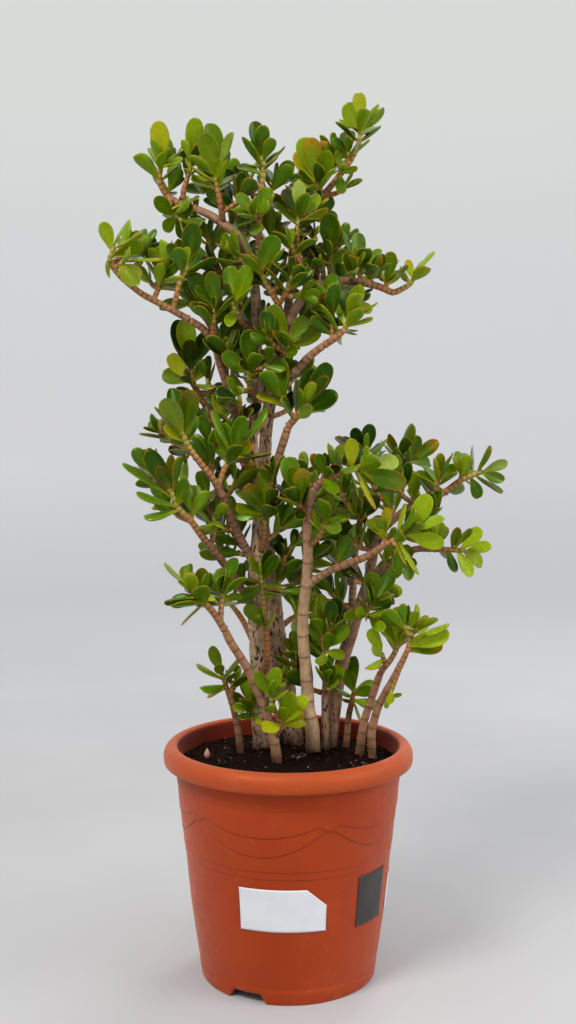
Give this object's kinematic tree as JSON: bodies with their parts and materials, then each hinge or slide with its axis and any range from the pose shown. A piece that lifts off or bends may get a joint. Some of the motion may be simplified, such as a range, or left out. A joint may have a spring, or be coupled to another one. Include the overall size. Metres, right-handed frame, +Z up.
{
  "type": "potted jade plant",
  "caption": "Tall jade plant with bare woody stems, arching limbs and clusters of thick oval leaves, in a round terracotta-coloured plastic pot filled with soil.",
  "frame": {"origin": "middle of the footprint, on the surface that the pot stands on", "axes": "+Z up, front of the plant towards -Y"},
  "size_m": [0.5082, 0.3308, 1.1284],
  "materials": {
    "pot": "terracotta-coloured moulded plastic, satin, a little dusty",
    "soil": "loose dark potting mix with pale crumbs",
    "paper_sticker": "bare white paper sticker, matt",
    "dark_sticker": "bare dark film sticker, satin",
    "bark": "smooth tan bark with thin dark leaf-scar rings",
    "foliage": "thick waxy green leaf, half gloss, with reddish margins"
  },
  "bodies": {
    "root": {"dark_sticker": "dark_sticker", "paper_sticker": "paper_sticker", "pot": "pot", "soil": "soil", "spray_arm_root": "foliage", "spray_back_arm": "foliage", "spray_back_crown": "foliage", "spray_back_crown_right": "foliage", "spray_back_left": "foliage", "spray_back_left_high": "foliage", "spray_back_low": "foliage", "spray_back_low_left": "foliage", "spray_back_middle": "foliage", "spray_back_right": "foliage", "spray_back_right_low": "foliage", "spray_crown_front": "foliage", "spray_crown_pale": "foliage", "spray_crown_top": "foliage", "spray_edge_right": "foliage", "spray_far_left": "foliage", "spray_fork": "foliage", "spray_front_cluster": "foliage", "spray_front_foot": "foliage", "spray_front_left": "foliage", "spray_front_mid": "foliage", "spray_front_right": "foliage", "spray_front_top": "foliage", "spray_heart": "foliage", "spray_high_right": "foliage", "spray_left_arm": "foliage", "spray_left_arm_root": "foliage", "spray_left_bottom_arm": "foliage", "spray_left_inner": "foliage", "spray_left_low_arm": "foliage", "spray_left_mid": "foliage", "spray_left_peak": "foliage", "spray_low_right": "foliage", "spray_middle": "foliage", "spray_orange_twig": "foliage", "spray_peak": "foliage", "spray_right_arm": "foliage", "spray_right_back": "foliage", "spray_right_end": "foliage", "spray_right_low": "foliage", "spray_right_trunk": "foliage", "spray_small_right": "foliage", "spray_stump": "foliage", "spray_trunk_face": "foliage", "spray_trunk_foot": "foliage", "spray_trunk_fork": "foliage", "stem_edge_right": "bark", "stem_far_left": "bark", "stem_front_left": "bark", "stem_front_right": "bark", "stem_right": "bark", "stem_ringed": "bark", "stem_small_right": "bark", "stump": "bark", "trunk_back": "bark", "trunk_left": "bark"}
  },
  "joints": []
}
